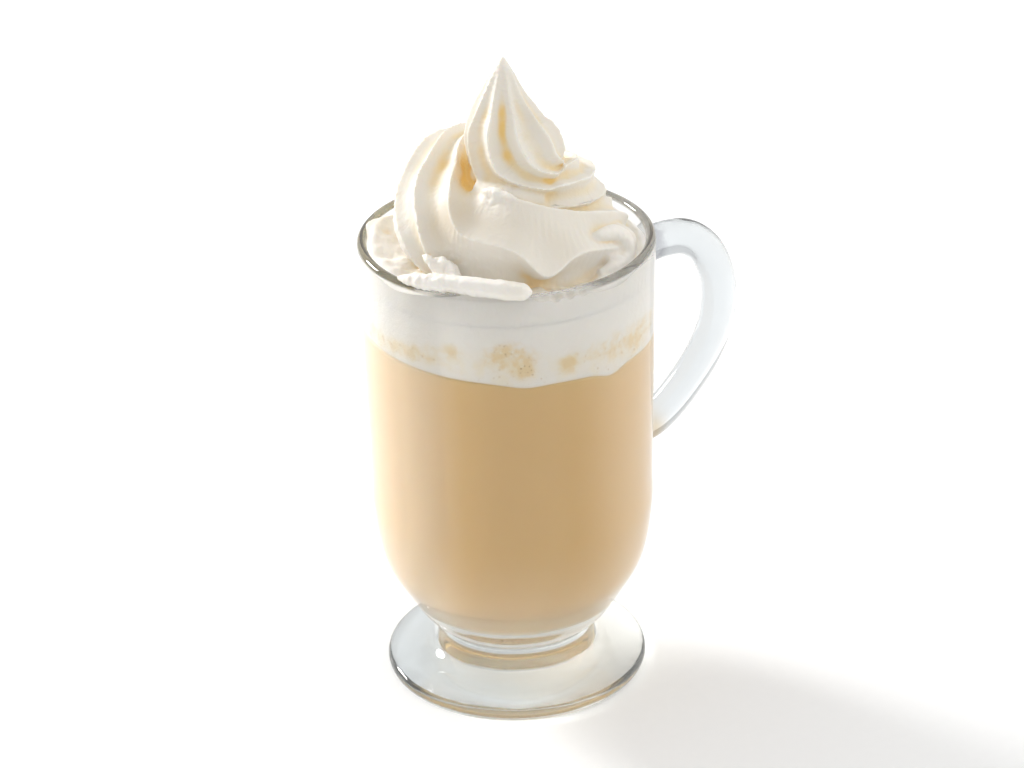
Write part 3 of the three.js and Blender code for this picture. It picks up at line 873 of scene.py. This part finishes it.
points = points_of(cream)
smooth = relaxed(cream, points, 0.5, 3)
hollowness = relaxed(cream, smooth, 0.5, 60) - smooth
fold = (hollowness * rows_of(cream.data.vertices, "normal")).sum(1)
out = np.hypot(points[:, 0], points[:, 1])
wall_reach = np.interp(points[:, 2], wall_line[:, 1], wall_line[:, 0], right=mouth + WETTING)
under_lip = ramp(points[:, 2], lip_height + 0.5, lip_height - 0.5)
on_glass = ramp(out, wall_reach - 1.6, wall_reach - 0.6) * under_lip
white = 0.85 * close_to(points, WHITE_AREAS).clip(0, 1)
rope = through(ROPE_STATIONS, STATION_STEPS)[:, :3]
rope_way = np.concatenate([[0], np.cumsum(np.linalg.norm(np.diff(rope, axis=0), axis=1))])
finder = kdtree.KDTree(len(rope))
for index, middle in enumerate(rope.tolist()):
    finder.insert(middle, index)
finder.balance()
ahead = unit(np.gradient(rope, axis=0))
nearest = np.array([finder.find(point)[1] for point in points.tolist()])
along_rope = rope_way[nearest] + ((points - rope[nearest]) * ahead[nearest]).sum(1)
carry(
    cream,
    fold=fold,
    butter=close_to(points, WARM_SHADE_SPOTS),
    along_rope=along_rope,
    pale=np.maximum(on_glass, white),
    thick=close_to(points, DIM_SHADE_AREAS),
)
set_points(cream, turned_to_view(points))
cream.data.shade_smooth()
cream.data.set_sharp_from_angle(angle=math.radians(60))

# Faces that lie on the wall are shaded flat, as the cut leaves long thin ones there.
middles = rows_of(cream.data.polygons, "center") / MM
wall_there = np.interp(middles[:, 2], wall_line[:, 1], wall_line[:, 0])
off_wall = np.abs(np.hypot(middles[:, 0], middles[:, 1]) - wall_there) >= 0.1
cream.data.polygons.foreach_set("use_smooth", off_wall | (middles[:, 2] >= lip_height))

satin_cream = Finish(bpy.data.materials.new("whipped cream"))
fold_depth = satin_cream.carried("fold")
butter = satin_cream.carried("butter")
grain = satin_cream.speckle(0.9, 3)
patches = satin_cream.speckle(8, 2)
strokes = satin_cream.work_out("SINE", satin_cream.carried("along_rope") * 4.6 + 5 * patches)
in_fold = fold_depth.rise(0, 0.55)
# Painted shade: yellow at the listed spots, more so in folds.
warm = (butter * (0.22 + 0.9 * in_fold) * (0.55 + 0.45 * patches.rise(0.3, 0.6))).rise(0.05, 1)
# Painted shade: the folds turn yellow.
cream_tone = satin_cream.mix(in_fold * (0.5 + 0.5 * patches.rise(0.2, 0.6)), CREAM_COLOUR, FOLD_SHADE_COLOUR)
# Painted shade: darker at the listed areas.
cream_tone = satin_cream.mix(0.6 * satin_cream.carried("thick"), cream_tone, DIM_SHADE_COLOUR)
cream_tone = satin_cream.mix(warm, cream_tone, WARM_SHADE_COLOUR)
# Painted highlight: the crests turn white.
cream_tone = satin_cream.mix((0 - fold_depth).rise(0.25, 1.1), cream_tone, CREST_HIGHLIGHT_COLOUR)
cream_tone = satin_cream.mix(satin_cream.carried("pale"), cream_tone, FOAM_COLOUR)
cream.data.materials.clear()
cream.data.materials.append(satin_cream.surface(satin_cream.node("ShaderNodeBsdfPrincipled", None, {
    "Base Color": cream_tone,
    "Roughness": 0.42 + 0.2 * grain,
    "Subsurface Weight": 0.25,
    "Subsurface Radius": (1, 0.75, 0.45),
    "Subsurface Scale": 0.0015,
    "Normal": satin_cream.relief(grain * 0.6 + strokes * 0.25 * patches.rise(0.45, 0.65), 0.16),
})))
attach(cream, "root")
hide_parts("whipped_cream")

# Floor: a plain white board. A round lamp stands low at the back left and isn't seen through the
# glass. The room is bright behind and beside the mug and darker on the camera's side.
FLOOR_REACH = 2500
FLOOR_TOP = -0.05
FLOOR_UNDERSIDE = -20
FLOOR_COLOUR = (0.91, 0.91, 0.905)
FLOOR_GRAIN = (0.93, 0.93, 0.925)

floor_profile = [
    (NEAR_AXIS, FLOOR_UNDERSIDE),
    (FLOOR_REACH, FLOOR_UNDERSIDE),
    (FLOOR_REACH, FLOOR_TOP),
    (NEAR_AXIS, FLOOR_TOP),
]
floor = mesh_object("floor", *skin(turned_rings(floor_profile, 96)))
floor.data.shade_flat()
board = Finish(bpy.data.materials.new("white board"))
floor.data.materials.append(board.surface(board.node("ShaderNodeBsdfPrincipled", None, {
    "Base Color": board.mix(board.speckle(3, 2), FLOOR_COLOUR, FLOOR_GRAIN),
    "Roughness": 0.7,
})))

KEY_HEADING = math.radians(143)
KEY_HEIGHT = math.radians(25)
KEY_DISTANCE = 1.4
KEY_AIM = Vector((0, 0, 0.1))
KEY_SIZE = 0.35
KEY_WATTS = 15
ROOM_LIGHT = 0.25
SKY_LIGHT = 0.56
LEFT_BOX = 0.4
RIGHT_BOX = 0.8
FRONT_BOX = 0.41

key_way = Vector((
    math.cos(KEY_HEADING) * math.cos(KEY_HEIGHT),
    math.sin(KEY_HEADING) * math.cos(KEY_HEIGHT),
    math.sin(KEY_HEIGHT),
))
key = bpy.data.objects.new("key", bpy.data.lights.new("key", "AREA"))
key.data.shape = "DISK"
key.data.size = KEY_SIZE
key.data.energy = KEY_WATTS
key_place = turn_to_view @ Matrix.Translation(KEY_AIM + KEY_DISTANCE * key_way)
key.matrix_world = key_place @ key_way.to_track_quat("Z", "Y").to_matrix().to_4x4()
key.visible_transmission = False
bpy.context.scene.collection.objects.link(key)

bpy.context.scene.world = bpy.data.worlds.new("room")
room = Finish(bpy.context.scene.world)
way_out = room.node("ShaderNodeTexCoord", output="Generated")


def toward(heading, height):
    """How far the way out turns to a heading and height in degrees, 1 where it points there."""
    turn = math.radians(heading) + VIEW_TURN
    up = math.radians(height)
    return room.along(way_out, (math.cos(turn) * math.cos(up), math.sin(turn) * math.cos(up), math.sin(up)))


brightness = (
    ROOM_LIGHT
    + SKY_LIGHT * toward(90, 45).rise(-0.3, 0.8)
    + LEFT_BOX * toward(180, 20).rise(0.35, 0.95)
    + RIGHT_BOX * toward(0, 15).rise(0.5, 0.95)
    + FRONT_BOX * toward(-90, 20).rise(0.4, 0.95)
)
background = room.node("ShaderNodeBackground", None, {"Color": (1, 1, 1, 1), "Strength": brightness})
room.node("ShaderNodeOutputWorld", None, {"Surface": background})
bpy.context.scene.view_settings.view_transform = "Standard"
